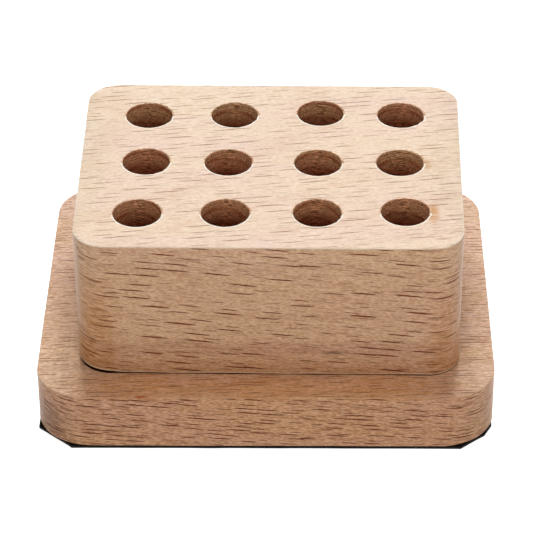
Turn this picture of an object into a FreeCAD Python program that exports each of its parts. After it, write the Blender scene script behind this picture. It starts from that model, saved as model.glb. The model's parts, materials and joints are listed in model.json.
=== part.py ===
import FreeCAD, Part

import os

# Tool storage caddy: a beech block bored with twelve upright holes for hobby tools. The block is
# screwed from below onto a larger beech base plate, and a thin black sheet under the plate hides
# the screw heads and keeps the caddy from sliding.
#
# Millimetres. +X right along the grain, +Y back, +Z up. The origin is on the table, under the
# middle of the base plate.

# ---- anti-slip sheet ----
SHEET_THICK = 0.8
SHEET_INSET = 0.4            # how far the sheet stays inside the plate's back and right sides
SHEET_INSET_FRONT = 0.1      # it sits a little forward and to the left
SHEET_INSET_LEFT = 0.1
CLIP_X = 8.5                 # corner cut off the sheet, along X
CLIP_Y = 8.3                 # corner cut off the sheet, along Y
LEFT_CLIP_X = 9.2            # the left front corner lost a little more, along X
# The right front corner took two snips: a steep one from the right side, then a flatter one.
SNIP_START_Y = 9.5           # where the steep snip leaves the right side
SNIP_BEND_X = 2.1            # where the two snips meet, in from the right side
SNIP_BEND_Y = 5.4            # and up from the front

# ---- base plate ----
PLATE_WIDTH = 120.0
PLATE_DEPTH = 100.0
PLATE_THICK = 16.0
PLATE_CORNER = 13.5

# ---- tool block ----
BLOCK_WIDTH = 99.8           # across the front
BLOCK_SPLAY_LEFT = 1.1       # its sides were sawn a little out of square and spread to the back
BLOCK_SPLAY_RIGHT = 0.85
BLOCK_DEPTH = 80.0
BLOCK_HEIGHT = 40.0
BLOCK_CORNER = 8.5
BLOCK_SHIFT_X = 1.2          # the block is fixed a little to the right of the plate's middle
BLOCK_TURN_DEG = -0.55       # and turned a little clockwise, seen from above
SANDED_RISE = 1.1            # underside sanded away at the left front corner
SANDED_X = 12.0              # how far that reaches along the front
SANDED_Y = 15.0              # how far that reaches along the left side

EDGE_EASE = 0.5              # radius rubbed onto every long edge of plate and block

# ---- tool holes, drilled by hand on a marked grid ----
HOLE_RADIUS = 6.25
HOLE_DEPTH = 32.0
HOLE_MOUTH = 0.3             # small bevel around each mouth
SPUR_RADIUS = 1.6            # dimple that the drill's centre point leaves in the floor
SPUR_DEPTH = 1.2
HOLE_PITCH_X = 22.8
HOLE_PITCH_Y = 24.0
GRID_SHIFT_X = 0.6
GRID_SHIFT_Y = 0.4
# How far the drill wandered off the grid: rows from the back, holes from the left, (x, y).
DRILL_WANDER = {
    "back": [(0.0, -0.7), (0.4, -0.2), (1.0, 0.9), (0.0, 0.1)],
    "middle": [(0.5, 0.0), (-0.5, -0.2), (0.5, -0.1), (-0.6, 0.1)],
    "front": [(-0.4, -0.7), (-0.5, -0.3), (0.4, 0.0), (0.3, 0.7)],
}

# ---- countersunk wood screws, 4 x 30 ----
SCREW_LENGTH = 30.0
SCREW_RADIUS = 2.0           # over the thread
CORE_RADIUS = 1.35
SHANK_RADIUS = 1.5
SHANK_LENGTH = 12.0          # from the head's flat face to the start of the thread
TIP_LENGTH = 4.0
THREAD_PITCH = 1.8
THREAD_ROOT = 0.5            # half the width of the thread at its root
HEAD_RADIUS = 3.8
HEAD_RIM = 0.35
RECESS_ARM = 2.1             # half the length of the cross recess at the head's face
RECESS_WIDTH = 0.9
RECESS_DEPTH = 2.2
HEAD_SINK = 0.3              # heads sit this far up inside the plate's underside
CLEARANCE_RADIUS = 2.25
# Screws go midway between holes, so their tips have solid wood all round.
SCREW_SPREAD_X = HOLE_PITCH_X
SCREW_SPREAD_Y = HOLE_PITCH_Y / 2

TINY = 1e-4
OVERSHOOT = 1.0              # cutters run this far past the faces they cut

PLATE_BOTTOM = SHEET_THICK
PLATE_TOP = PLATE_BOTTOM + PLATE_THICK
HEAD_FACE = PLATE_BOTTOM + HEAD_SINK

UP = FreeCAD.Vector(0, 0, 1)
# Where the block's own frame, with its origin under its middle, sits in the caddy.
BLOCK_PLACE = FreeCAD.Placement(
    FreeCAD.Vector(BLOCK_SHIFT_X, 0, PLATE_TOP),
    FreeCAD.Rotation(UP, BLOCK_TURN_DEG),
)


def point(x, y, z=0.0):
    return FreeCAD.Vector(x, y, z)


def prism(corners, z, height):
    """An upright prism on a closed outline of (x, y) corners at height z."""
    outline = [point(x, y, z) for x, y in corners]
    face = Part.Face(Part.makePolygon(outline + outline[:1]))
    return face.extrude(UP * height)


def turned(profile):
    """A solid of revolution about Z from a closed outline of (radius, z) points."""
    outline = [point(radius, 0, z) for radius, z in profile]
    face = Part.Face(Part.makePolygon(outline + outline[:1]))
    return face.revolve(point(0, 0, 0), UP, 360)


def lies_flat_at(edge, z):
    box = edge.BoundBox
    return abs(box.ZMin - z) < TINY and abs(box.ZMax - z) < TINY


def stands_upright(edge):
    box = edge.BoundBox
    return box.XLength < TINY and box.YLength < TINY


def board(front_width, depth, height, corner, splay_left=0.0, splay_right=0.0):
    """A board on z = 0 with rounded upright corners and eased top and bottom edges.

    Its back is wider than its front by the splays.
    """
    right = front_width / 2
    back = depth / 2
    corners = [(-right, -back), (right, -back), (right + splay_right, back), (-right - splay_left, back)]
    blank = prism(corners, 0, height)
    rounded = blank.makeFillet(corner, [edge for edge in blank.Edges if stands_upright(edge)])
    rims = [edge for edge in rounded.Edges if lies_flat_at(edge, 0) or lies_flat_at(edge, height)]
    return rounded.makeFillet(EDGE_EASE, rims)


def hole_centres():
    """Name of each tool hole and its centre in the block's frame, from the back left one on."""
    centres = {}
    for row, (label, wander) in enumerate(DRILL_WANDER.items()):
        for column, (wander_x, wander_y) in enumerate(wander):
            x = GRID_SHIFT_X + (column - 1.5) * HOLE_PITCH_X + wander_x
            y = GRID_SHIFT_Y + (1 - row) * HOLE_PITCH_Y + wander_y
            centres[f"tool_hole_{label}_{column + 1}"] = point(x, y)
    return centres


def screw_places():
    """Name of each screw and where its axis stands on the plate."""
    places = {}
    for end, y in (("front", -SCREW_SPREAD_Y), ("back", SCREW_SPREAD_Y)):
        for side, x in (("left", -SCREW_SPREAD_X), ("right", SCREW_SPREAD_X)):
            places[f"screw_{end}_{side}"] = point(x, y)
    return places


def tool_hole_cutter():
    """The space one drilled hole takes, in the block's frame: floor dimple, bore and bevel."""
    floor = BLOCK_HEIGHT - HOLE_DEPTH
    mouth = HOLE_RADIUS + HOLE_MOUTH
    return turned([
        (0, floor - SPUR_DEPTH),
        (SPUR_RADIUS, floor),
        (HOLE_RADIUS, floor),
        (HOLE_RADIUS, BLOCK_HEIGHT - HOLE_MOUTH),
        (mouth, BLOCK_HEIGHT),
        (mouth, BLOCK_HEIGHT + OVERSHOOT),
        (0, BLOCK_HEIGHT + OVERSHOOT),
    ])


def sanded_corner_cutter():
    """A flat sliver under the block's left front corner, deepest at the corner itself."""
    left = -BLOCK_WIDTH / 2 - BLOCK_SPLAY_LEFT * SANDED_Y / BLOCK_DEPTH
    front = -BLOCK_DEPTH / 2
    corner = point(left, front)
    along_front = point(left + SANDED_X, front)
    along_side = point(left, front + SANDED_Y)
    peak = point(left, front, SANDED_RISE)
    faces = [
        (corner, along_front, along_side),
        (corner, along_front, peak),
        (along_front, along_side, peak),
        (along_side, corner, peak),
    ]
    shell = Part.makeShell([Part.Face(Part.makePolygon([a, b, c, a])) for a, b, c in faces])
    return Part.makeSolid(shell)


def pilot_cutter():
    """The hole that a screw's core fills in the block, from the plate's top to its tip."""
    tip = HEAD_FACE + SCREW_LENGTH
    return turned([
        (0, PLATE_TOP - OVERSHOOT),
        (CORE_RADIUS, PLATE_TOP - OVERSHOOT),
        (CORE_RADIUS, tip - TIP_LENGTH),
        (0, tip),
    ])


def countersink_cutter():
    """The clearance hole and countersink that a screw takes in the plate."""
    taper = HEAD_RADIUS - CLEARANCE_RADIUS
    rim_top = HEAD_FACE + HEAD_RIM
    return turned([
        (0, PLATE_BOTTOM - OVERSHOOT),
        (HEAD_RADIUS, PLATE_BOTTOM - OVERSHOOT),
        (HEAD_RADIUS, rim_top),
        (CLEARANCE_RADIUS, rim_top + taper),
        (CLEARANCE_RADIUS, PLATE_TOP + OVERSHOOT),
        (0, PLATE_TOP + OVERSHOOT),
    ])


def tool_block():
    drill = tool_hole_cutter()
    cutters = [drill.translated(centre) for centre in hole_centres().values()]
    block = board(
        BLOCK_WIDTH, BLOCK_DEPTH, BLOCK_HEIGHT, BLOCK_CORNER, BLOCK_SPLAY_LEFT, BLOCK_SPLAY_RIGHT)
    block = block.cut(cutters + [sanded_corner_cutter()])
    block.Placement = BLOCK_PLACE
    pilot = pilot_cutter()
    return block.cut([pilot.translated(place) for place in screw_places().values()])


def base_plate():
    plate = board(PLATE_WIDTH, PLATE_DEPTH, PLATE_THICK, PLATE_CORNER)
    plate.translate(UP * PLATE_BOTTOM)
    sink = countersink_cutter()
    return plate.cut([sink.translated(place) for place in screw_places().values()])


def anti_slip_sheet():
    """A thin sheet trimmed with scissors: straight sides and clipped corners."""
    right = PLATE_WIDTH / 2 - SHEET_INSET
    back = PLATE_DEPTH / 2 - SHEET_INSET
    left = SHEET_INSET_LEFT - PLATE_WIDTH / 2
    front = SHEET_INSET_FRONT - PLATE_DEPTH / 2
    return prism([
        (left + LEFT_CLIP_X, front),
        (right - CLIP_X, front),
        (right - SNIP_BEND_X, front + SNIP_BEND_Y),
        (right, front + SNIP_START_Y),
        (right, back - CLIP_Y),
        (right - CLIP_X, back),
        (left + CLIP_X, back),
        (left, back - CLIP_Y),
        (left, front + CLIP_Y),
    ], 0, SHEET_THICK)


def screw_thread(outer):
    """A right-hand V thread, trimmed to the screw's outer form."""
    start = SHANK_LENGTH
    height = SCREW_LENGTH - start
    root = CORE_RADIUS * 0.9
    helix = Part.makeHelix(THREAD_PITCH, height, CORE_RADIUS)
    helix.translate(UP * start)
    triangle = Part.makePolygon([
        point(root, 0, start - THREAD_ROOT),
        point(SCREW_RADIUS, 0, start),
        point(root, 0, start + THREAD_ROOT),
        point(root, 0, start - THREAD_ROOT),
    ])
    ridge = Part.Wire(helix).makePipeShell([triangle], True, True)
    return ridge.common(outer)


def cross_recess():
    """Two crossed slots that narrow to the bottom, cut into the head's face at z = 0."""
    arms = []
    for turn in (0, 90):
        outlines = []
        for z, reach in ((-OVERSHOOT, RECESS_ARM * 1.2), (RECESS_DEPTH, RECESS_ARM * 0.4)):
            half = RECESS_WIDTH / 2
            corners = [(-reach, -half), (reach, -half), (reach, half), (-reach, half)]
            ring = [point(x, y, z) for x, y in corners]
            outlines.append(Part.makePolygon(ring + ring[:1]))
        arm = Part.makeLoft(outlines, True, True)
        arm.rotate(point(0, 0, 0), UP, turn)
        arms.append(arm)
    return arms[0].fuse(arms[1])


def wood_screw():
    """One countersunk screw standing on its head's face at z = 0, tip up."""
    neck = HEAD_RIM + HEAD_RADIUS - SHANK_RADIUS
    tip_start = SCREW_LENGTH - TIP_LENGTH
    body = turned([
        (0, 0),
        (HEAD_RADIUS, 0),
        (HEAD_RADIUS, HEAD_RIM),
        (SHANK_RADIUS, neck),
        (SHANK_RADIUS, SHANK_LENGTH),
        (CORE_RADIUS, SHANK_LENGTH),
        (CORE_RADIUS, tip_start),
        (0, SCREW_LENGTH),
    ])
    outer = turned([
        (0, SHANK_LENGTH - THREAD_PITCH),
        (SCREW_RADIUS, SHANK_LENGTH - THREAD_PITCH / 2),
        (SCREW_RADIUS, tip_start),
        (0, SCREW_LENGTH),
    ])
    threaded = body.fuse(screw_thread(outer))
    return threaded.cut(cross_recess())


def write_step(name, shape):
    """One clean solid to parts/NAME.step."""
    solids = shape.Solids
    if len(solids) != 1 or not solids[0].isValid():
        raise ValueError(f"{name} is not one valid solid")
    solids[0].exportStep(f"parts/{name}.step")
    print(f"{name}: {solids[0].Volume / 1000:.2f} cm3")


def main():
    os.makedirs("parts", exist_ok=True)
    write_step("anti_slip_sheet", anti_slip_sheet())
    write_step("base_plate", base_plate())
    write_step("tool_block", tool_block())
    screw = wood_screw()
    for name, place in screw_places().items():
        write_step(name, screw.translated(place + UP * HEAD_FACE))


main()
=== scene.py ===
import json
from math import acos, atan, atan2, cos, pi, radians, sin, tan

import bmesh
import bpy
import numpy as np
from mathutils import Matrix, Vector
from mathutils.geometry import delaunay_2d_cdt


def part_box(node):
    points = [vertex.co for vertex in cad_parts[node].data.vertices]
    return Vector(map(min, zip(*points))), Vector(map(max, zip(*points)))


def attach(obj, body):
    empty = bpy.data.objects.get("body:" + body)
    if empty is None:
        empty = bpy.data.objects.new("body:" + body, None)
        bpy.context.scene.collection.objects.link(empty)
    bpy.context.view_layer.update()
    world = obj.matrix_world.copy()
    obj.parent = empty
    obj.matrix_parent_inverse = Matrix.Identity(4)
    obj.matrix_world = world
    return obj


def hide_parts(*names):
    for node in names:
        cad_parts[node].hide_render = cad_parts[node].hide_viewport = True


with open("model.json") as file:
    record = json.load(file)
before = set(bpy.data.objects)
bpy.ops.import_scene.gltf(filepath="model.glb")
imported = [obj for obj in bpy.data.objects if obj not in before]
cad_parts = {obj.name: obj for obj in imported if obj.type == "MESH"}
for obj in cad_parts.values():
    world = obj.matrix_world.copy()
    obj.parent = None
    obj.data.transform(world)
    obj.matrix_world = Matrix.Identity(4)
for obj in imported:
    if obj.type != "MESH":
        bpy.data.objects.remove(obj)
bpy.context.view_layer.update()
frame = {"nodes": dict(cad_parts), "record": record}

MM = 0.001

# ---- sizes of the design, in millimetres ----
# The block's outline in its own frame: its sides spread a little towards the back.
BLOCK_CORNERS = [(-49.9, -40.0), (49.9, -40.0), (50.75, 40.0), (-51.0, 40.0)]
BLOCK_CORNER = 8.5               # radius of its upright corners
BLOCK_SHIFT = (1.2, 0.0)         # it stands a little right of the plate's middle
BLOCK_TURN = radians(-0.55)      # and is turned a little clockwise
BLOCK_FRONT = -40.0              # Y of its front face
BLOCK_TOP = 56.8                 # heights above the table
PLATE_TOP = 16.8
PLATE_CORNER = 13.5
EDGE_EASE = 0.5                  # radius rubbed onto the long edges
SANDED_RISE = 1.1                # underside sanded away at the block's left front corner
SANDED_X = 12.0
SANDED_Y = 15.0
HOLE_MOUTH = 0.3                 # bevel around each tool hole
SPUR_RADIUS = 1.6                # dimple in each hole's floor
SPUR_DEPTH = 1.2
CORE_RADIUS = 1.35               # screws: core, pointed tip, head and clearance hole
TIP_LENGTH = 4.0
HEAD_RADIUS = 3.8
HEAD_RIM = 0.35
CLEARANCE_RADIUS = 2.25
CLIP_X = 8.5                     # corners cut off the black sheet
CLIP_Y = 8.3
LEFT_CLIP_X = 9.2                # a little more off the left front one
SNIP_START_Y = 9.5               # the right front corner took two snips
SNIP_BEND_X = 2.1
SNIP_BEND_Y = 5.4

# ---- finer shapes that only the looks have, in millimetres ----
TOP_EASE = 0.4                   # the top edges are crisper than EDGE_EASE
CORNER_RUB = 0.7                 # extra rounding under the plate's corners
JOINT_GAP = 0.24                 # shadow gap round the block's foot, and how far it runs in
JOINT_DEPTH = 2.4
SIDE_WAVE = 0.03                 # unevenness of the sanded sides
TEAR_REACH = 0.32                # how far fibres tear out of a hole's mouth
MOUTH_WOBBLE = 0.05
CUTTER_MARK = 0.03               # unevenness down a bore's wall
CUTTER_MARK_RINGS = 22
SCISSOR_WAVER = 0.12             # how far a cut side of the black sheet wavers inwards
CUT_BEVEL_LOWER = 0.08           # heights of the bevels that the scissors leave along the cut
CUT_BEVEL_UPPER = 0.05
CUT_BEVEL_SHRINK = 0.998         # the sheet's outline within the bevels, as a share of the whole

# ---- spacing of the meshes ----
CAP_SPACING = 2.5                # distance between the points that fill a flat face
CAP_ROW = 0.866                  # distance between their rows, as a share of that
CAP_CLEAR = 0.4                  # and how far they keep off its edges, as a share
SIDE_SPACING = 1.2               # along a straight edge
ARC_STEPS = 16                   # in each rounded corner
EASE_STEPS = 5                   # across an eased edge
# Of the rings across an eased edge, 0 on the flat face and 7 on the side, these bound a painted
# highlight in paler wood.
HIGHLIGHT_FIRST = 2                 # on a top edge
HIGHLIGHT_LAST = 5
FOOT_HIGHLIGHT_FROM = 4                  # from here to the side under the block
HOLE_STEPS = 144                 # around each tool hole
SCREW_HOLE_STEPS = 32
SUPPORT = 0.25                   # ring of points that keeps a flat face flat up to its eased edge

# Finishes of the block and the plate, in the order of their materials.
# The third and fourth finishes are paler copies of the wood that paint highlights: on eased edges, and
# on the near side of each hole's mouth.
FACE, BORE, EDGE_HIGHLIGHT, MOUTH_HIGHLIGHT = range(4)

# ---- camera ----
CAMERA_AIM = Vector((0.14, -17.9, 35.8)) * MM
CAMERA_DISTANCE = 686.4 * MM
CAMERA_YAW = radians(0.984)
CAMERA_PITCH = radians(34.89)
CAMERA_ROLL = radians(-0.456)
CAMERA_LENS = 175.7              # for the sensor's width, both in millimetres
SENSOR_WIDTH = 36.0


# ---------------------------------------------------------------- seeded noise
def value_noise(x, seed):
    """Smooth noise from -1 to 1 along a line, with one scrambled value per unit of x."""
    x = np.asarray(x, float)
    cell = np.floor(x)
    blend = x - cell
    blend = blend * blend * (3 - 2 * blend)

    def at(index):
        scramble = np.sin(index * 127.1 + seed * 311.7) * 43758.5453
        return 2 * (scramble - np.floor(scramble)) - 1

    return at(cell) * (1 - blend) + at(cell + 1) * blend


def loop_noise(count, waves, seed):
    """Noise around a closed loop of count points, with about that many waves."""
    place = np.arange(count) * waves / count
    close = value_noise(place, seed)
    wrap = value_noise(place - waves, seed)
    share = np.arange(count) / count
    return close * (1 - share) + wrap * share


# ---------------------------------------------------------------- mesh building
class Sketch:
    """Collects points, in millimetres, and faces, then makes one mesh object of them."""

    def __init__(self):
        self.points = []
        self.faces = []
        self.finishes = []

    def ring(self, x, y, z):
        """Adds a closed loop of points and returns their numbers."""
        first = len(self.points)
        x, y, z = np.broadcast_arrays(x, y, z)
        self.points += [tuple(p) for p in np.stack([x, y, z], -1)]
        return list(range(first, first + len(x)))

    def skin(self, lower, upper, finish=FACE):
        """Quads between two loops with as many points; faces look outwards if upper is above.

        finish is one number for them all, or one for each.
        """
        count = len(lower)
        finishes = np.broadcast_to(finish, count)
        for i in range(count):
            j = (i + 1) % count
            self.faces.append((lower[i], lower[j], upper[j], upper[i]))
            self.finishes.append(int(finishes[i]))

    def stack(self, rings, finish=FACE):
        """Skins each loop to the next."""
        for lower, upper in zip(rings, rings[1:]):
            self.skin(lower, upper, finish)

    def tip(self, loop, x, y, z, finish=FACE):
        """Closes a loop to one point."""
        centre = len(self.points)
        self.points.append((x, y, z))
        count = len(loop)
        for i in range(count):
            self.faces.append((loop[i], loop[(i + 1) % count], centre))
            self.finishes.append(finish)

    def cap(self, outline, holes, finish=FACE):
        """Fills the flat face inside one loop and outside others with even triangles."""
        loops = [outline] + holes
        numbers = [number for loop in loops for number in loop]
        flat = np.array([self.points[number][:2] for number in numbers])
        level = float(np.median([self.points[number][2] for number in numbers]))
        edges = []
        polygons = []
        first = 0
        for loop in loops:
            count = len(loop)
            edges += [(first + i, first + (i + 1) % count) for i in range(count)]
            polygons.append(flat[first:first + count])
            first += count
        inner = fill_points(polygons)
        for x, y in inner:
            numbers.append(len(self.points))
            self.points.append((x, y, level))
        every = np.vstack([flat, inner]) if len(inner) else flat
        found = delaunay_2d_cdt([Vector(p) for p in every], edges, [], 0, 1e-6)
        coordinates, triangles, sources = found[0], found[2], found[3]
        middles = [sum((coordinates[i] for i in t), Vector((0, 0))) / 3 for t in triangles]
        middles = np.array(middles)
        wanted = inside(middles, polygons[0])
        for polygon in polygons[1:]:
            wanted &= ~inside(middles, polygon)
        for triangle, keep in zip(triangles, wanted):
            if keep:
                self.faces.append(tuple(numbers[sources[i][0]] for i in triangle))
                self.finishes.append(finish)

    def make(self, name, materials, sharp_angle=38):
        """The finished object, in metres, with outward faces and its materials."""
        mesh = bpy.data.meshes.new(name)
        mesh.from_pydata([Vector(p) * MM for p in self.points], [], self.faces)
        for material in materials:
            mesh.materials.append(material)
        mesh.polygons.foreach_set("material_index", self.finishes)
        mesh.polygons.foreach_set("use_smooth", [True] * len(mesh.polygons))
        mesh.validate()
        turn_faces_outwards(mesh)
        mesh.set_sharp_from_angle(angle=radians(sharp_angle))
        piece = bpy.data.objects.new(name, mesh)
        bpy.context.scene.collection.objects.link(piece)
        return piece


def turn_faces_outwards(mesh):
    work = bmesh.new()
    work.from_mesh(mesh)
    bmesh.ops.recalc_face_normals(work, faces=work.faces)
    work.to_mesh(mesh)
    work.free()


def inside(points, polygon):
    """Which points lie inside a closed polygon."""
    x, y = points[:, 0:1], points[:, 1:2]
    x0, y0 = polygon[:, 0], polygon[:, 1]
    x1, y1 = np.roll(x0, -1), np.roll(y0, -1)
    spans = (y0 > y) != (y1 > y)
    rise = np.where(y1 == y0, 1.0, y1 - y0)
    crossing = x0 + (y - y0) * (x1 - x0) / rise
    return np.sum(spans & (x < crossing), axis=1) % 2 == 1


def fill_points(polygons):
    """Points of a staggered grid well inside the first polygon and clear of the others."""
    outline = polygons[0]
    low, high = outline.min(0), outline.max(0)
    grid = []
    for number, y in enumerate(np.arange(low[1], high[1], CAP_SPACING * CAP_ROW)):
        shift = CAP_SPACING / 2 * (number % 2)
        grid += [(x + shift, y) for x in np.arange(low[0], high[0], CAP_SPACING)]
    grid = np.array(grid)
    keep = inside(grid, outline)
    for polygon in polygons[1:]:
        keep &= ~inside(grid, polygon)
    edge = np.vstack(polygons)
    gap = np.sqrt(((grid[:, None] - edge[None]) ** 2).sum(-1)).min(1)
    return grid[keep & (gap > CAP_CLEAR * CAP_SPACING)]


def rounded_outline(corners, radius):
    """Points and outward directions round an outline with rounded corners, anticlockwise."""
    corners = [np.array(corner, float) for corner in corners]
    points, outward = [], []
    for number, here in enumerate(corners):
        after = corners[(number + 1) % len(corners)]
        arrive = here - corners[number - 1]
        arrive /= np.linalg.norm(arrive)
        length = np.linalg.norm(after - here)
        leave = (after - here) / length
        bend = acos(arrive @ leave)
        cut = radius * tan(bend / 2)
        centre = here - arrive * cut + radius * np.array([-arrive[1], arrive[0]])
        start = atan2(-arrive[0], arrive[1])
        for step in range(ARC_STEPS + 1):
            angle = start + bend * step / ARC_STEPS
            direction = np.array([cos(angle), sin(angle)])
            points.append(centre + radius * direction)
            outward.append(direction)
        begin = here + leave * cut
        straight = length - 2 * cut
        steps = int(straight / SIDE_SPACING)
        for step in range(1, steps):
            points.append(begin + leave * straight * step / steps)
            outward.append(outward[-1])
    return np.array(points), np.array(outward)


def circle(centre, radius, steps):
    """X and Y of points round a circle."""
    angles = np.arange(steps) * 2 * pi / steps
    return centre[0] + radius * np.cos(angles), centre[1] + radius * np.sin(angles)


def turn_and_shift(points, turn, shift):
    """Points turned about the origin, then shifted."""
    matrix = np.array([[cos(turn), -sin(turn)], [sin(turn), cos(turn)]])
    return points @ matrix.T + shift


def eased_rings(sketch, points, outward, ease, face, towards):
    """Rings that round a flat face at height face over into the side.

    ease is the rounding radius at each point. towards is -1 under a top face and 1 over a
    bottom face. The first ring is the flat face's edge and the last lies on the side.
    """
    flat = points - outward * (ease + SUPPORT)[:, None]
    rings = [sketch.ring(flat[:, 0], flat[:, 1], face)]
    for step in range(EASE_STEPS + 1):
        angle = step * pi / 2 / EASE_STEPS
        place = points - outward * (ease * (1 - sin(angle)))[:, None]
        rings.append(sketch.ring(place[:, 0], place[:, 1], face + towards * ease * (1 - cos(angle))))
    level = face + towards * (ease + SUPPORT)
    rings.append(sketch.ring(points[:, 0], points[:, 1], level))
    return rings


def side_rings(sketch, points, outward, bottom, top, shares, waves, seed):
    """Slightly uneven rings up a side, at those shares of its height."""
    rings = []
    for share in shares:
        wave = SIDE_WAVE * loop_noise(len(points), waves, seed + share)
        place = points + outward * (wave - SIDE_WAVE)[:, None]
        rings.append(sketch.ring(place[:, 0], place[:, 1], bottom + share * (top - bottom)))
    return rings


def skin_to_top(sketch, side, upper):
    """Skins a side up to its top face. The middle of the rounding shows a painted highlight in paler
    wood.
    """
    sketch.stack(side + upper[:HIGHLIGHT_LAST - 1:-1])
    sketch.stack(upper[HIGHLIGHT_LAST:HIGHLIGHT_FIRST - 1:-1], EDGE_HIGHLIGHT)
    sketch.stack(upper[HIGHLIGHT_FIRST::-1])


# ---------------------------------------------------------------- facts from the frame
def box_mm(node):
    """Lowest and highest corner of a CAD node's box."""
    low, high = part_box(node)
    return np.array(low) / MM, np.array(high) / MM


def tool_holes():
    """Centre, radius and floor height of each tool hole, from its mount."""
    holes = []
    for mount in frame["record"]["mounts"]:
        if mount["kind"] == "bore":
            x, y, z = (value / MM for value in mount["pos_m"])
            dims = mount["dims"]
            holes.append((np.array([x, y]), dims["r_mm"], z - dims["length_mm"]))
    return holes


def screw_axes():
    """Where each screw stands, and its lowest and highest point."""
    axes = []
    for node in frame["nodes"]:
        if node.startswith("screw_"):
            low, high = box_mm(node)
            axes.append(((low[:2] + high[:2]) / 2, low[2], high[2]))
    return axes


# ---------------------------------------------------------------- material building
class Nodes:
    """Short-hand for building one material's node tree."""

    def __init__(self, name):
        self.material = bpy.data.materials.new(name)
        self.material.use_nodes = True
        self.tree = self.material.node_tree
        self.tree.nodes.clear()

    def add(self, kind, **inputs):
        """A node of that kind; an input is a socket's name, with _ for a space, and its value."""
        node = self.tree.nodes.new("ShaderNode" + kind)
        for label, value in inputs.items():
            self.put(node.inputs[label.replace("_", " ")], value)
        return node

    def put(self, socket, value):
        """Links another node's output to the socket, or sets a plain value on it."""
        if isinstance(value, bpy.types.NodeSocket):
            self.tree.links.new(value, socket)
        else:
            socket.default_value = value

    def math(self, operation, first, second=0.0, third=0.0):
        node = self.tree.nodes.new("ShaderNodeMath")
        node.operation = operation
        for socket, value in zip(node.inputs, (first, second, third)):
            self.put(socket, value)
        return node.outputs[0]

    def vector(self, operation, first, second):
        node = self.tree.nodes.new("ShaderNodeVectorMath")
        node.operation = operation
        self.put(node.inputs[0], first)
        self.put(node.inputs[1], second)
        return node.outputs["Value" if operation == "LENGTH" else "Vector"]

    def noise(self, place, scale=1.0, detail=3.0, roughness=0.5, colour=False):
        node = self.add("TexNoise", Vector=place, Scale=scale, Detail=detail, Roughness=roughness)
        return node.outputs["Color" if colour else "Fac"]

    def range(self, value, low, high, new_low=0.0, new_high=1.0):
        """Smoothly from new_low where the value is low to new_high where it is high."""
        node = self.tree.nodes.new("ShaderNodeMapRange")
        node.interpolation_type = "SMOOTHSTEP"
        for label, number in (("Value", value), ("From Min", low), ("From Max", high),
                              ("To Min", new_low), ("To Max", new_high)):
            self.put(node.inputs[label], number)
        return node.outputs["Result"]

    def mix(self, share, first, second, blend="MIX"):
        """A mix of two colours."""
        node = self.tree.nodes.new("ShaderNodeMix")
        node.data_type = "RGBA"
        node.blend_type = blend
        self.put(node.inputs[0], share)
        self.put(node.inputs[6], first)
        self.put(node.inputs[7], second)
        return node.outputs[2]

    def blend(self, share, first, second):
        """The first number where share is 0, the second where it is 1."""
        return self.math("MULTIPLY_ADD", share, self.math("SUBTRACT", second, first), first)

    def finish(self, **inputs):
        """Ends the tree in a Principled shader with those inputs and returns the material."""
        shader = self.add("BsdfPrincipled", **inputs)
        output = self.tree.nodes.new("ShaderNodeOutputMaterial")
        self.tree.links.new(shader.outputs[0], output.inputs["Surface"])
        return self.material


def tone(red, green, blue):
    """A display colour, 0 to 255, as the linear colour that shaders use."""
    def linear(value):
        share = value / 255
        return share / 12.92 if share <= 0.04045 else ((share + 0.055) / 1.055) ** 2.4
    return (linear(red), linear(green), linear(blue), 1.0)


# ---------------------------------------------------------------- beech
ALONG = (1.0, 0.0, 0.0)          # also fills the unused second input of one-input nodes
WHITE = (1.0, 1.0, 1.0, 1.0)

RING_SPACING = 4.6               # from one growth ring to the next, in mm
GRAIN_DRIFT = 1.5                # how far the grain wanders off its line, in mm
# Ray flecks, large, middling and small: the room each has and half its largest size, in mm along
# and across the grain.
FLECK_SIZES = [((11.0, 2.4), (4.8, 0.25)), ((7.5, 1.5), (2.6, 0.22)), ((4.5, 0.9), (1.8, 0.15))]
FLECK_SHARE = 0.9                # share of the places for a fleck that hold one
FLAT_THINNER = 0.45              # added to 1, the factor they are thinner by on flat faces

SCORCH_AND_SHADE_DEPTH = 9.0               # the bores darken over this depth: scorched wood and painted shade
# the darkest tone down a bore: scorched wood and painted shade
SCORCH_AND_SHADE = (0.28, 0.105, 0.055, 1.0)
CUTTER_DARK = (0.82, 0.74, 0.66, 1.0)
CUTTER_LIGHT = (1.08, 1.1, 1.12, 1.0)
JOINT_SHADE = tone(48, 14, 7)     # painted shade in the joint round the block's foot

RELIEF_DEPTH = 0.08 * MM         # of the streaks and flecks, and of the black sheet's texture


def object_mm(n):
    """Place on the object in millimetres, in the shared frame."""
    texture = n.add("TexCoord")
    return n.vector("MULTIPLY", texture.outputs["Object"], (1000, 1000, 1000))


def grain_space(n, object_place, palette):
    """Place in the wood, in millimetres, with X along the slightly wandering grain."""
    place = n.add("Mapping", Vector=object_place, Location=palette["shift"],
                  Rotation=(0, -atan(palette["fall"]), -atan(palette["rise"]))).outputs[0]
    wide = n.vector("MULTIPLY", place, (0.02, 0.035, 0.035))
    drift = n.vector("SUBTRACT", n.noise(wide, 1.0, 2.0, colour=True), (0.5, 0.5, 0.5))
    return n.vector("ADD", place, n.vector("MULTIPLY", drift, (0.0, GRAIN_DRIFT, GRAIN_DRIFT)))


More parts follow.
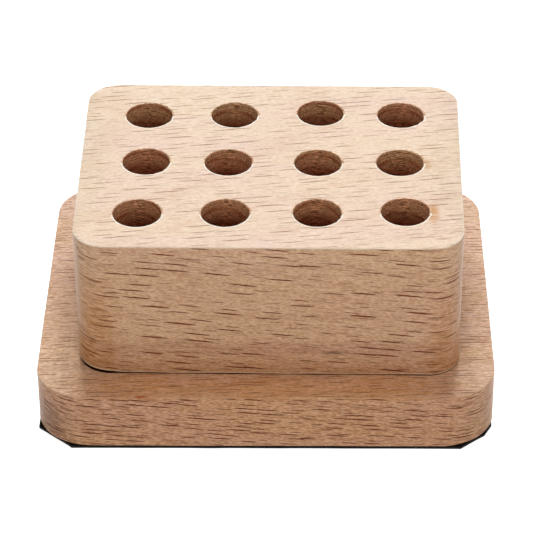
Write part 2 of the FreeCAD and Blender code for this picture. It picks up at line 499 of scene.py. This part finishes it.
def face_space(n, place, end_grain):
    """Place on the cut face: X along the grain, Y across it, Z the depth into the face.

    Rays and pores run deep on a long face, so depth hardly counts there, but counts fully on end
    grain. Also gives how far a point is end grain, from 0 to 1, and 1 where it faces up or down.
    """
    facing = n.vector("ABSOLUTE", n.add("TexCoord").outputs["Normal"], ALONG)
    facing = n.add("SeparateXYZ", Vector=facing)
    flat = n.math("GREATER_THAN", facing.outputs["Z"], 0.6)
    grain = n.add("SeparateXYZ", Vector=place)
    across = n.blend(flat, grain.outputs["Z"], grain.outputs["Y"])
    deep = n.blend(flat, grain.outputs["Y"], grain.outputs["Z"])
    end = n.range(facing.outputs["X"], *end_grain)
    deep = n.math("MULTIPLY", deep, n.math("MULTIPLY_ADD", end, 0.92, 0.08))
    # The shift by 40 mm gives flat faces other streaks than the sides.
    deep = n.math("MULTIPLY_ADD", flat, 40.0, deep)
    return n.add("CombineXYZ", X=grain.outputs["X"], Y=across, Z=deep).outputs[0], end, flat


def stretched(n, place, along, across, detail, roughness=0.5):
    """Noise drawn out along the grain; along and across are waves per millimetre."""
    return n.noise(n.vector("MULTIPLY", place, (along, across, across)), 1.0, detail, roughness)


def fleck_layer(n, face, flat, cell, half_size, share):
    """Spindle-shaped ray ends of one size: 1 inside a fleck, 0 outside.

    cell is the room each one has and half_size how long and thick the largest are, in mm along
    and across the grain. share of the cells hold one. They are thinner where flat is 1.
    """
    node = n.add("TexVoronoi", Scale=1.0, Randomness=0.9)
    node.voronoi_dimensions = "2D"
    grid = n.vector("DIVIDE", face, (*cell, 1.0))
    n.put(node.inputs["Vector"], grid)
    chance = n.add("SeparateColor", Color=node.outputs["Color"])
    chosen = n.math("LESS_THAN", chance.outputs[0], share)
    away = n.vector("SUBTRACT", grid, node.outputs["Position"])
    thinner = n.math("MULTIPLY_ADD", flat, FLAT_THINNER, 1.0)
    thinner = n.math("MULTIPLY", thinner, cell[1] / half_size[1])
    scale = n.add("CombineXYZ", X=cell[0] / half_size[0], Y=thinner).outputs[0]
    away = n.vector("MULTIPLY", away, scale)
    size = n.math("MULTIPLY_ADD", chance.outputs[1], 0.6, 0.4)
    edge = n.math("DIVIDE", n.vector("LENGTH", away, ALONG), size)
    return n.math("MULTIPLY", chosen, n.range(edge, 1.0, 0.7))


def ray_flecks(n, face, flat, end, palette):
    """All ray ends together: 1 inside a large one, less inside the others. End grain has none."""
    share = n.math("SUBTRACT", FLECK_SHARE, end)
    room, size = palette["fleck_room"], palette["fleck_size"]
    layers = []
    for cell, half_size in FLECK_SIZES:
        cell = [room * side for side in cell]
        half_size = [size * half for half in half_size]
        layers.append(fleck_layer(n, face, flat, cell, half_size, share))
    large, middling, small = layers
    faint = n.math("MULTIPLY_ADD", middling, 0.4, n.math("MULTIPLY", small, 0.2))
    return n.math("MAXIMUM", large, n.math("MINIMUM", faint, 1.0))


def foot_distance(n, place):
    """Distance in mm outside the block's foot, negative under the block."""
    back = Matrix.Rotation(-BLOCK_TURN, 2)
    moved = back @ Vector(BLOCK_SHIFT)
    local = n.add("Mapping", Vector=place, Location=(-moved.x, -moved.y, 0.0),
                  Rotation=(0, 0, -BLOCK_TURN), Scale=(1.0, 1.0, 0.0)).outputs[0]
    straight = (BLOCK_CORNERS[1][0] - BLOCK_CORNER, BLOCK_CORNERS[2][1] - BLOCK_CORNER, 0.0)
    beyond = n.vector("SUBTRACT", n.vector("ABSOLUTE", local, ALONG), straight)
    beyond = n.vector("MAXIMUM", beyond, (0.0, 0.0, 0.0))
    return n.math("SUBTRACT", n.vector("LENGTH", beyond, ALONG), BLOCK_CORNER)


def spot(n, place, centre, reach):
    """A soft round mark: 1 in its middle, 0 at its edge. reach is its half size each way in mm."""
    away = n.vector("DIVIDE", n.vector("SUBTRACT", place, centre), reach)
    return n.range(n.vector("LENGTH", away, ALONG), 1.0, 0.2)


def with_rings(n, colour, place, end, palette):
    """Growth rings around the pith, stronger on end grain."""
    across = n.vector("MULTIPLY", n.vector("SUBTRACT", place, palette["pith"]), (0.0, 1.0, 1.0))
    radius = n.vector("LENGTH", across, ALONG)
    wander = stretched(n, place, 0.015, 0.06, 2.0)
    season = n.math("MULTIPLY_ADD", wander, 1.2, n.math("DIVIDE", radius, RING_SPACING))
    season = n.math("PINGPONG", season, 0.5)
    late = n.range(season, 0.3, 0.5, 0.0, palette["ring_strength"])
    late = n.math("MULTIPLY", late, n.math("MULTIPLY_ADD", end, 1.6, 1.0))
    return n.mix(late, colour, palette["ring"])


def with_marks(n, colour, marks, on_object, hair):
    """Stains, rubbed places and painted light, shade and reflection, broken up a little along the
    finest fibres.
    """
    for centre, reach, tint, strength in marks:
        mark_share = n.range(hair, 0.35, 0.6, strength, strength * 0.45)
        mark_share = n.math("MULTIPLY", spot(n, on_object, centre, reach), mark_share)
        colour = n.mix(mark_share, colour, (*tint, 1.0), "MULTIPLY")
    return colour


def with_scorch_and_shade(n, colour, on_object, fibre):
    """The cutter's marks round a bore, and darkening down its wall with depth: scorched wood and
    painted shade.
    """
    level = n.add("SeparateXYZ", Vector=on_object).outputs["Z"]
    turns = n.math("MULTIPLY_ADD", fibre, 1.2, n.math("MULTIPLY", level, 2.2))
    turns = n.add("CombineXYZ", Z=turns).outputs[0]
    turns = n.range(n.noise(turns, 1.0, 1.0), 0.35, 0.6)
    colour = n.mix(1.0, colour, n.mix(turns, CUTTER_DARK, CUTTER_LIGHT), "MULTIPLY")
    dark = n.mix(n.range(level, BLOCK_TOP, BLOCK_TOP - SCORCH_AND_SHADE_DEPTH), WHITE, SCORCH_AND_SHADE)
    return n.mix(1.0, colour, dark, "MULTIPLY")


def beech(name, palette, marks=(), bored=False, joint=False):
    """Sanded beech as a solid texture, so that faces, end grain and bores agree."""
    n = Nodes(name)
    on_object = object_mm(n)
    place = grain_space(n, on_object, palette)
    face, end, flat = face_space(n, place, palette["end_grain"])

    patch = stretched(n, place, 0.012, 0.07, 2.0)
    colour = n.mix(n.range(patch, 0.36, 0.64), palette["warm"], palette["pink"])
    colour = with_rings(n, colour, place, end, palette)

    fibre = stretched(n, face, 0.05, 0.9, 3.0, 0.6)
    hair = stretched(n, face, 0.25, 2.6, 1.0)
    speck = stretched(n, face, 0.9, 4.0, 1.0)
    streak = n.math("MULTIPLY_ADD", fibre, 0.12, n.math("MULTIPLY", hair, 0.18))
    streak = n.math("MULTIPLY_ADD", speck, 0.7, streak)
    shade = n.mix(n.range(streak, 0.375, 0.625), palette["dark"], palette["light"])
    # Faces that look up or down keep less of the streaks, which leaves them paler and flatter: painted
    # light, the washed-out top under strong light.
    calm = n.math("MULTIPLY_ADD", flat, palette["flat_calm"] - 1.0, 1.0)
    colour = n.mix(calm, colour, shade, "MULTIPLY")

    fleck = ray_flecks(n, face, flat, end, palette)
    strong = palette["fleck_strength"]
    pale = n.math("MULTIPLY_ADD", flat, strong * (palette["flat_fleck"] - 1.0), strong)
    colour = n.mix(n.math("MULTIPLY", fleck, pale), colour, palette["fleck"])

    colour = with_marks(n, colour, marks, on_object, hair)
    if bored:
        colour = with_scorch_and_shade(n, colour, on_object, fibre)
    if joint:
        # The plate darkens where it meets the block's foot: painted shade in the joint.
        foot = n.math("MULTIPLY_ADD", fibre, 0.5, foot_distance(n, on_object))
        colour = n.mix(n.range(foot, 0.2, -0.1), colour, JOINT_SHADE)

    height = n.math("MULTIPLY_ADD", fleck, -0.9, n.math("MULTIPLY", streak, 0.8))
    relief = n.add("Bump", Strength=palette["relief"], Distance=RELIEF_DEPTH, Height=height)
    rough = n.math("MULTIPLY_ADD", fleck, 0.15, palette["rough"])
    rough = n.math("MULTIPLY_ADD", streak, 0.2, rough)
    return n.finish(Base_Color=colour, Roughness=rough, Normal=relief.outputs[0],
                    Specular_IOR_Level=palette["gloss"], IOR=1.5,
                    Coat_Weight=palette["coat"], Coat_Roughness=0.1)


# Each board, the bores' wood, and each paler copy that paints a highlight:
# shift, pith          where the board was cut from the tree, in mm
# rise, fall           how its grain rises to the back and falls to the right along X
# warm, pink           its ground, in large patches
# ring, ring_strength  its late wood, and how much of that shows, from 0 to 1
# dark, light          what the finest streaks multiply the ground by
# fleck, fleck_strength   its ray ends, and how much of them shows
# fleck_room, fleck_size  what multiplies their spacing and their size
# flat_calm, flat_fleck   share of the streaks and flecks left on faces that look up or down
# end_grain            how squarely a face looks along X where end grain starts and is complete
# relief, rough, gloss, coat   bump strength, roughness, reflection and thin coat of oil
BLOCK_PALETTE = dict(
    shift=(0, 0, 0),
    pith=(0, 20, -75),
    rise=0.13,
    fall=0.09,
    warm=tone(240, 211, 182),
    pink=tone(239, 208, 184),
    ring=tone(228, 190, 162),
    ring_strength=0.3,
    dark=(0.82, 0.73, 0.63, 1.0),
    light=(1.12, 1.17, 1.24, 1.0),
    fleck=tone(126, 54, 16),
    fleck_strength=1.0,
    fleck_room=1.0,
    fleck_size=1.0,
    flat_calm=0.45,
    flat_fleck=0.8,
    end_grain=(0.8, 0.97),
    relief=0.6,
    rough=0.42,
    gloss=0.05,
    coat=0.15,
)
# Paler copy of the block's wood: a painted highlight along its eased edges.
EDGE_HIGHLIGHT_PALETTE = dict(
    BLOCK_PALETTE,
    warm=tone(250, 232, 206),
    pink=tone(250, 230, 208),
    ring=tone(240, 214, 190),
    dark=(0.9, 0.86, 0.8, 1.0),
    fleck_strength=0.3,
)
# Paler still: a painted highlight on the near side of each hole's mouth.
MOUTH_HIGHLIGHT_PALETTE = dict(
    EDGE_HIGHLIGHT_PALETTE,
    warm=tone(251, 238, 217),
    pink=tone(251, 237, 218),
    ring=tone(246, 228, 208),
    dark=(0.95, 0.93, 0.9, 1.0),
    light=(1.02, 1.03, 1.04, 1.0),
    fleck_strength=0.15,
)
BORE_PALETTE = dict(
    BLOCK_PALETTE,
    warm=tone(236, 201, 164),
    pink=tone(234, 187, 156),
    ring=tone(202, 138, 106),
    ring_strength=0.4,
    dark=(0.42, 0.355, 0.31, 1.0),
    light=(1.44, 1.43, 1.42, 1.0),
    fleck=tone(120, 70, 44),
    fleck_strength=0.4,
    flat_calm=1.0,
    flat_fleck=1.0,
    end_grain=(0.25, 0.55),
    relief=1.0,
    rough=0.5,
    gloss=0.3,
    coat=0.0,
)
PLATE_PALETTE = dict(
    BLOCK_PALETTE,
    shift=(230, 90, 40),
    pith=(230, 120, -60),
    rise=0.05,
    fall=0.08,
    warm=tone(232, 192, 157),
    pink=tone(231, 191, 164),
    ring=tone(212, 167, 136),
    ring_strength=0.4,
    dark=(0.79, 0.69, 0.57, 1.0),
    light=(1.17, 1.25, 1.35, 1.0),
    fleck=tone(110, 42, 10),
    fleck_room=0.6,
    fleck_size=0.8,
    flat_calm=0.75,
    flat_fleck=0.85,
    relief=0.8,
)
# Paler copy of the plate's wood: a painted highlight along its top edges.
PLATE_EDGE_HIGHLIGHT_PALETTE = dict(
    PLATE_PALETTE,
    warm=tone(240, 206, 172),
    pink=tone(240, 202, 176),
    ring=tone(226, 182, 150),
    dark=(0.86, 0.8, 0.72, 1.0),
    light=(1.08, 1.1, 1.13, 1.0),
    fleck_strength=0.35,
)

# Marks, stains in the wood and painted light and shade: centre and half size in mm, the tint it is
# multiplied by, and its strength.
BLOCK_TOP_MARKS = [
    # stains beside two right holes
    ((43.2, -24.0, BLOCK_TOP), (2.4, 6.5, 2.0), (0.72, 0.44, 0.2), 0.9),
    ((42.5, -0.5, BLOCK_TOP), (1.6, 4.0, 2.0), (0.76, 0.52, 0.28), 0.7),
    # bruise on the front edge
    ((41.8, -40.2, 56.4), (4.5, 1.2, 0.8), (0.42, 0.18, 0.08), 0.8),
]
BLOCK_MARKS = BLOCK_TOP_MARKS + [
    # grey rub marks
    ((18.1, -39.9, 24.1), (4.4, 1.5, 1.0), (0.2, 0.2, 0.2), 0.75),
    ((-41.8, -37.5, 34.4), (2.0, 2.5, 1.6), (0.3, 0.24, 0.32), 0.7),
    # painted reflection of the plate's warm wood in the front corners
    ((-45.0, -38.0, 26.0), (10.0, 11.0, 30.0), (0.77, 0.54, 0.29), 0.9),
    ((48.0, -38.0, 24.0), (10.0, 11.0, 30.0), (0.81, 0.6, 0.39), 0.8),
    # painted shade, darker and warmer towards the foot
    ((0.0, BLOCK_FRONT, 17.0), (110.0, 14.0, 8.0), (0.86, 0.7, 0.52), 0.7),
    # painted light, paler under the top edge
    ((0.0, BLOCK_FRONT, 52.5), (110.0, 14.0, 7.0), (1.05, 1.12, 1.18), 0.8),
    # pink and brown growth bands across the front
    ((0.0, BLOCK_FRONT, 50.1), (110.0, 14.0, 3.4), (0.76, 0.58, 0.52), 0.25),
    ((0.0, BLOCK_FRONT, 25.3), (100.0, 14.0, 3.2), (0.68, 0.49, 0.46), 0.58),
    ((0.0, BLOCK_FRONT, 35.4), (100.0, 14.0, 1.3), (0.84, 0.76, 0.7), 0.45),
    # duller at both ends of the top
    ((49.5, 2.0, BLOCK_TOP), (9.0, 50.0, 2.0), (0.9, 0.92, 0.9), 0.9),
    ((-48.5, 2.0, BLOCK_TOP), (9.0, 50.0, 2.0), (0.93, 0.97, 0.93), 0.9),
]
PLATE_MARKS = [
    # a reddish ray end on the front edge
    ((-32.2, -49.8, 16.9), (2.6, 1.0, 0.8), (0.67, 0.18, 0.08), 0.95),
    # painted shade on the strip before the block, warm like bounced light
    ((-33.0, -45.5, PLATE_TOP), (25.0, 11.5, 1.6), (0.95, 0.7, 0.43), 0.8),
    ((-1.0, -45.5, PLATE_TOP), (27.0, 11.5, 1.6), (0.95, 0.7, 0.43), 0.8),
    ((32.0, -45.5, PLATE_TOP), (26.0, 11.5, 1.6), (0.95, 0.7, 0.43), 0.8),
    # front corners darkened by handling
    ((-58.0, -46.0, 4.0), (10.0, 14.0, 14.0), (0.46, 0.42, 0.42), 1.0),
    ((58.0, -46.0, 6.0), (10.0, 14.0, 13.0), (0.8, 0.84, 0.86), 0.8),
    # the right front corner's top is paler, painted light over the block's shadow; the left end duller
    ((54.0, -42.0, PLATE_TOP), (10.0, 9.0, 3.0), (1.16, 1.19, 1.15), 0.9),
    ((-56.0, 10.0, PLATE_TOP), (12.0, 55.0, 4.0), (0.9, 0.86, 0.85), 1.0),
]
BORE_MARKS = [
    # the front row's bores are darker, the middle row's lighter
    ((0.0, -20.0, 46.0), (90.0, 12.0, 9.0), (0.42, 0.3, 0.3), 0.9),
    ((0.0, 5.0, 48.0), (90.0, 9.0, 8.0), (1.3, 1.4, 1.4), 0.7),
]


def block_wood():
    return beech("sanded_beech_block", BLOCK_PALETTE, BLOCK_MARKS)


def edge_highlight_wood():
    return beech("beech_edge_painted_highlight", EDGE_HIGHLIGHT_PALETTE, BLOCK_TOP_MARKS)


def mouth_highlight_wood():
    return beech("beech_mouth_painted_highlight", MOUTH_HIGHLIGHT_PALETTE)


def bore_wood():
    return beech("bored_beech", BORE_PALETTE, BORE_MARKS, bored=True)


def plate_wood():
    return beech("sanded_beech_plate", PLATE_PALETTE, PLATE_MARKS, joint=True)


def plate_edge_highlight_wood():
    return beech("plate_edge_painted_highlight", PLATE_EDGE_HIGHLIGHT_PALETTE, PLATE_MARKS)


def black_sheet():
    n = Nodes("black_rubber_sheet")
    place = object_mm(n)
    grain = n.noise(place, 3.0, 4.0, 0.7)
    colour = n.mix(grain, tone(4, 4, 5), tone(20, 20, 20))
    relief = n.add("Bump", Strength=0.6, Distance=RELIEF_DEPTH, Height=grain)
    return n.finish(Base_Color=colour, Roughness=n.range(grain, 0.2, 0.8, 0.6, 0.85),
                    Specular_IOR_Level=0.2, Normal=relief.outputs[0])


def zinc_steel():
    n = Nodes("zinc_plated_steel")
    place = object_mm(n)
    cloud = n.noise(place, 1.4, 3.0, 0.6)
    colour = n.mix(cloud, tone(176, 172, 160), tone(208, 205, 198))
    relief = n.add("Bump", Strength=0.3, Distance=0.03 * MM, Height=n.noise(place, 8.0, 2.0))
    return n.finish(Base_Color=colour, Metallic=1.0, Roughness=n.range(cloud, 0.3, 0.7, 0.28, 0.45),
                    Normal=relief.outputs[0])


# ---------------------------------------------------------------- the block
def tool_hole(sketch, centre, radius, floor, top, seed):
    """One drilled hole: a torn mouth, a wall with faint tool marks and a dimpled floor."""
    angles = np.arange(HOLE_STEPS) * 2 * pi / HOLE_STEPS
    # The cutter lifts fibres where it leaves the wood along the grain, so the right side tears most.
    torn_side = 0.3 + 0.7 * np.clip(np.cos(angles), 0, 1) ** 1.5
    tear = loop_noise(HOLE_STEPS, 56, seed) + 0.3 * loop_noise(HOLE_STEPS, 17, seed + 9)
    tear = np.clip(tear, 0, 1) ** 1.3 * torn_side * TEAR_REACH
    wobble = MOUTH_WOBBLE * loop_noise(HOLE_STEPS, 9, seed + 3) - MOUTH_WOBBLE

    def ring(reach, z):
        return sketch.ring(centre[0] + reach * np.cos(angles), centre[1] + reach * np.sin(angles), z)

    # Sanding has worn the bevel wider on the near side than on the far side.
    bevel = HOLE_MOUTH * (0.75 - 0.55 * np.sin(angles - 0.3))
    mouth = [
        ring(radius + bevel + SUPPORT + wobble + tear, top),
        ring(radius + bevel + wobble + tear, top),
        ring(radius + bevel * 0.5 + wobble + tear * 0.9, top - 0.3 * bevel - 0.1 * tear),
        ring(radius + bevel * 0.15 + wobble + tear * 0.7, top - 0.8 * bevel - 0.5 * tear),
        ring(radius + wobble * 0.5 + tear * 0.25, top - 0.5 - 1.0 * tear),
    ]
    wall = [ring(radius, top - 1.4 - 0.8 * tear)]
    for number, z in enumerate(np.linspace(top - 2.6, floor + 0.3, CUTTER_MARK_RINGS)):
        marks = CUTTER_MARK * loop_noise(HOLE_STEPS, 13, seed + 20 + number)
        wall.append(ring(radius - 0.01 + marks, z))
    wall.append(ring(radius, floor))
    base = [
        ring(radius * 0.97, floor),
        ring(radius * 0.7, floor + 0.02),
        ring(SPUR_RADIUS * 1.1, floor),
        ring(SPUR_RADIUS, floor - 0.05),
    ]
    # The near side of each mouth takes the palest wood: a painted highlight.
    near_side = np.sin(angles) < -0.1
    sketch.stack(mouth[:3][::-1], np.where(near_side, MOUTH_HIGHLIGHT, BORE))
    sketch.stack((mouth[2:] + wall + base)[::-1], BORE)
    sketch.tip(base[-1], centre[0], centre[1], floor - SPUR_DEPTH, BORE)
    return mouth[0]


def pilot_hole(sketch, centre, bottom, tip):
    """The blind hole that one screw's core fills."""
    x, y = circle(centre, CORE_RADIUS, SCREW_HOLE_STEPS)
    rings = [sketch.ring(x, y, bottom), sketch.ring(x, y, tip - TIP_LENGTH)]
    sketch.stack(rings, BORE)
    sketch.tip(rings[-1], centre[0], centre[1], tip, BORE)
    return rings[0]


def block_piece():
    low, high = box_mm("tool_block")
    bottom, top = low[2], high[2]
    points, outward = rounded_outline(BLOCK_CORNERS, BLOCK_CORNER)
    count = len(points)
    from_corner = points - np.array(BLOCK_CORNERS[0])
    raised = SANDED_RISE * (1 - from_corner[:, 0] / SANDED_X - from_corner[:, 1] / SANDED_Y)
    raised = np.clip(raised, 0, None)
    points = turn_and_shift(points, BLOCK_TURN, np.array(BLOCK_SHIFT))
    outward = turn_and_shift(outward, BLOCK_TURN, np.zeros(2))

    top_ease = TOP_EASE * (1 + 0.25 * loop_noise(count, 40, 2) + 0.12 * loop_noise(count, 150, 5))
    bottom_ease = EDGE_EASE * (0.8 + 0.3 * loop_noise(count, 60, 11))
    gap = JOINT_GAP * (1 + 0.5 * loop_noise(count, 30, 17))
    foot = bottom + gap + raised

    sketch = Sketch()
    upper = eased_rings(sketch, points, outward, top_ease, top, -1)
    lower = eased_rings(sketch, points, outward, bottom_ease, foot, 1)
    # Inside the joint gap the block sits flat on the plate.
    seat = points - outward * JOINT_DEPTH
    under = [sketch.ring(seat[:, 0], seat[:, 1], bottom), sketch.ring(seat[:, 0], seat[:, 1], foot)]
    shares = np.linspace(0.1, 0.9, 9)
    side = side_rings(sketch, points, outward, bottom, top, shares, waves=22, seed=30)
    # The gap's inside faces take the bore wood, fully darkened this low: painted shade in the gap.
    sketch.stack(under + lower[:1], BORE)
    sketch.stack(lower[:FOOT_HIGHLIGHT_FROM + 1])
    # A paler band just above the foot: a painted highlight line.
    sketch.stack(lower[FOOT_HIGHLIGHT_FROM:], EDGE_HIGHLIGHT)
    skin_to_top(sketch, lower[-1:] + side, upper)

    mouths = []
    for number, (centre, radius, floor) in enumerate(tool_holes()):
        mouths.append(tool_hole(sketch, centre, radius, floor, top, 100 + 7 * number))
    sketch.cap(upper[0], mouths)
    pilots = [pilot_hole(sketch, centre, bottom, tip) for centre, _, tip in screw_axes()]
    sketch.cap(under[0], pilots)
    return sketch.make("beech_tool_block", [block_wood(), bore_wood(), edge_highlight_wood(), mouth_highlight_wood()])


# ---------------------------------------------------------------- the plate
def screw_hole(sketch, centre, bottom, top, head_face):
    """Clearance hole and countersink through the plate; returns its upper and lower loop."""
    rim = head_face + HEAD_RIM
    profile = [
        (HEAD_RADIUS, bottom),
        (HEAD_RADIUS, rim),
        (CLEARANCE_RADIUS, rim + HEAD_RADIUS - CLEARANCE_RADIUS),
        (CLEARANCE_RADIUS, top),
    ]
    rings = []
    for radius, z in profile:
        x, y = circle(centre, radius, SCREW_HOLE_STEPS)
        rings.append(sketch.ring(x, y, z))
    sketch.stack(rings, BORE)
    return rings[-1], rings[0]


def plate_piece():
    low, high = box_mm("base_plate")
    bottom, top = low[2], high[2]
    corners = [(low[0], low[1]), (high[0], low[1]), (high[0], high[1]), (low[0], high[1])]
    points, outward = rounded_outline(corners, PLATE_CORNER)
    count = len(points)
    top_ease = TOP_EASE * (1 + 0.3 * loop_noise(count, 45, 61) + 0.12 * loop_noise(count, 160, 62))
    bottom_ease = EDGE_EASE * (1 + 0.25 * loop_noise(count, 50, 64))
    # The lower edge is rubbed further round where it turns the corners.
    bottom_ease += CORNER_RUB * np.abs(2 * outward[:, 0] * outward[:, 1])

    sketch = Sketch()
    upper = eased_rings(sketch, points, outward, top_ease, top, -1)
    lower = eased_rings(sketch, points, outward, bottom_ease, bottom, 1)
    shares = np.linspace(0.15, 0.85, 5)
    side = side_rings(sketch, points, outward, bottom, top, shares, waves=26, seed=70)
    skin_to_top(sketch, lower + side, upper)
    holes = [screw_hole(sketch, centre, bottom, top, face) for centre, face, _ in screw_axes()]
    sketch.cap(upper[0], [hole[0] for hole in holes])
    sketch.cap(lower[0], [hole[1] for hole in holes])
    return sketch.make("beech_base_plate", [plate_wood(), bore_wood(), plate_edge_highlight_wood()])


# ---------------------------------------------------------------- the black sheet
def scissor_cut(corners, step, seed):
    """Points a step apart along straight cuts, with the slight waver of scissors."""
    points = []
    for (x0, y0), (x1, y1) in zip(corners, corners[1:] + corners[:1]):
        start, end = np.array([x0, y0]), np.array([x1, y1])
        length = np.linalg.norm(end - start)
        inward = np.array([-(y1 - y0), x1 - x0]) / length
        count = max(2, int(length / step))
        share = np.arange(count) / count
        waver = SCISSOR_WAVER * (0.5 + 0.5 * value_noise(share * length / 6, seed))
        waver = waver * np.sin(pi * share) ** 0.5
        points.append(start + (end - start) * share[:, None] + inward * waver[:, None])
        seed += 1
    return np.vstack(points)


def sheet_piece():
    low, high = box_mm("anti_slip_sheet")
    left, front = low[0], low[1]
    right, back = high[0], high[1]
    corners = [
        (left + LEFT_CLIP_X, front),
        (right - CLIP_X, front),
        (right - SNIP_BEND_X, front + SNIP_BEND_Y),
        (right, front + SNIP_START_Y),
        (right, back - CLIP_Y),
        (right - CLIP_X, back),
        (left + CLIP_X, back),
        (left, back - CLIP_Y),
        (left, front + CLIP_Y),
    ]
    points = scissor_cut(corners, step=1.0, seed=200)
    inner = points * CUT_BEVEL_SHRINK
    sketch = Sketch()
    rings = [
        sketch.ring(inner[:, 0], inner[:, 1], low[2]),
        sketch.ring(points[:, 0], points[:, 1], low[2] + CUT_BEVEL_LOWER),
        sketch.ring(points[:, 0], points[:, 1], high[2] - CUT_BEVEL_UPPER),
        sketch.ring(inner[:, 0], inner[:, 1], high[2]),
    ]
    sketch.stack(rings)
    sketch.cap(rings[0], [])
    sketch.cap(rings[-1], [])
    return sketch.make("trimmed_black_sheet", [black_sheet()], sharp_angle=60)


# ---------------------------------------------------------------- the studio, in metres
CARD_HALF = 3.0
TABLE_GLOW = 0.8
BOUNCE_COLOUR = (1.0, 0.8, 0.635, 1.0)
BOUNCE_GLOW = 0.74
WORLD_GLOW = 0.08
LIGHT_AIM = (0.0, 0.0, 0.03)


def card(name, height, material):
    """A large flat sheet of the studio, level with the table."""
    half = CARD_HALF
    corners = [(x, y, height) for x, y in ((-half, -half), (half, -half), (half, half), (-half, half))]
    mesh = bpy.data.meshes.new(name)
    mesh.from_pydata(corners, [], [(0, 1, 2, 3)])
    mesh.materials.append(material)
    plane = bpy.data.objects.new(name, mesh)
    bpy.context.scene.collection.objects.link(plane)
    return plane


def glowing(name, low, high, glow, strength):
    """A faintly clouded matt material that also glows evenly."""
    n = Nodes(name)
    texture = n.add("TexCoord")
    cloud = n.noise(texture.outputs["Object"], 3.0, 2.0)
    return n.finish(Base_Color=n.mix(cloud, low, high), Roughness=0.9, Specular_IOR_Level=0.0,
                    Emission_Color=glow, Emission_Strength=strength)


def light_table():
    """A white light table; a warmer card under it stands for the light that it sends back up."""
    white = glowing("studio_white", tone(250, 250, 250), tone(253, 253, 253), WHITE, TABLE_GLOW)
    table = card("studio_floor", 0.0, white)
    table.visible_diffuse = False
    warm = glowing("bounce_warm", tone(3, 3, 3), tone(4, 4, 4), BOUNCE_COLOUR, BOUNCE_GLOW)
    bounce = card("bounce_card", -0.001, warm)
    bounce.visible_camera = False
    bounce.visible_glossy = False


def softbox(name, place, size, power, colour, aim=LIGHT_AIM):
    """A square area light that faces the aim point."""
    light = bpy.data.lights.new(name, "AREA")
    light.shape = "SQUARE"
    light.size = size
    light.energy = power
    light.color = colour
    lamp = bpy.data.objects.new(name, light)
    lamp.location = place
    lamp.rotation_euler = (Vector(aim) - Vector(place)).to_track_quat("-Z", "Y").to_euler()
    bpy.context.scene.collection.objects.link(lamp)
    return lamp


def studio():
    world = bpy.data.worlds.new("studio_white")
    world.use_nodes = True
    background = world.node_tree.nodes["Background"]
    background.inputs["Color"].default_value = WHITE
    background.inputs["Strength"].default_value = WORLD_GLOW
    bpy.context.scene.world = world
    light_table()
    softbox("overhead", (0.0, 0.0, 0.9), size=0.6, power=1.9, colour=(0.85, 1.0, 1.1))
    back = softbox("back_top", (0.0, 0.7, 0.75), size=0.4, power=9.3, colour=(1.0, 1.115, 1.25))
    back.visible_glossy = False
    softbox("front_high", (0.0, -0.25, 0.28), size=0.2, power=0.25, colour=(1.08, 0.84, 0.6),
            aim=(0.0, -0.04, 0.05))
    softbox("right_side", (0.3, -0.1, 0.12), size=0.2, power=0.05, colour=(1.0, 0.8, 0.6))
    bpy.context.scene.view_settings.view_transform = "Standard"


def camera():
    data = bpy.data.cameras.new("camera")
    data.lens = CAMERA_LENS
    data.sensor_width = SENSOR_WIDTH
    data.clip_start = 0.01
    data.clip_end = 20
    data.dof.use_dof = False
    seat = bpy.data.objects.new("camera", data)
    turn = (Matrix.Rotation(CAMERA_YAW, 4, "Z") @ Matrix.Rotation(pi / 2 - CAMERA_PITCH, 4, "X")
            @ Matrix.Rotation(CAMERA_ROLL, 4, "Z"))
    back = turn.to_3x3() @ Vector((0, 0, 1))
    seat.matrix_world = Matrix.Translation(CAMERA_AIM + back * CAMERA_DISTANCE) @ turn
    bpy.context.scene.collection.objects.link(seat)
    bpy.context.scene.camera = seat


# ---------------------------------------------------------------- putting it together
def put(piece, node):
    """The piece stands for a CAD node: hides that node and hangs the piece from the root body."""
    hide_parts(node)
    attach(piece, "root")


camera()
studio()
put(block_piece(), "tool_block")
put(plate_piece(), "base_plate")
put(sheet_piece(), "anti_slip_sheet")
steel = zinc_steel()
for node, obj in frame["nodes"].items():
    if node.startswith("screw_"):
        for holder in obj.material_slots:
            holder.material = steel
